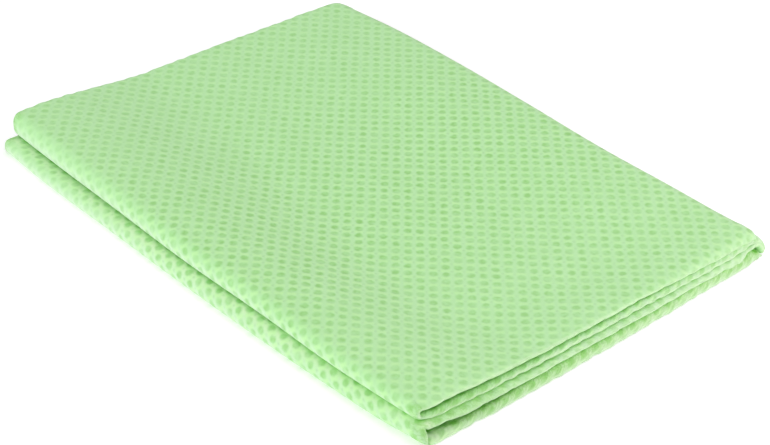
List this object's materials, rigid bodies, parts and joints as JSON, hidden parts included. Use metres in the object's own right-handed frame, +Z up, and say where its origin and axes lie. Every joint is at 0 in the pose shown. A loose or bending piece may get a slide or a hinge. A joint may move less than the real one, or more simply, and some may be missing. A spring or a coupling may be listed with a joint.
{
  "type": "folded sports towel",
  "caption": "Soft green absorbent sports towel folded back and forth into a flat rectangular packet, with rounded folds along one side and layered cut edges at the ends.",
  "frame": {"origin": "middle of the folded packet's footprint, on the surface that it rests on", "axes": "+X along the packet's long side, +Y across it from the side with the two rounded folds, +Z up"},
  "size_m": [0.3064, 0.2322, 0.0214],
  "materials": {
    "cloth": "matt light green, a soft napped cloth embossed with a regular repeat of round dots"
  },
  "bodies": {
    "root": {"towel": "cloth"}
  },
  "joints": []
}
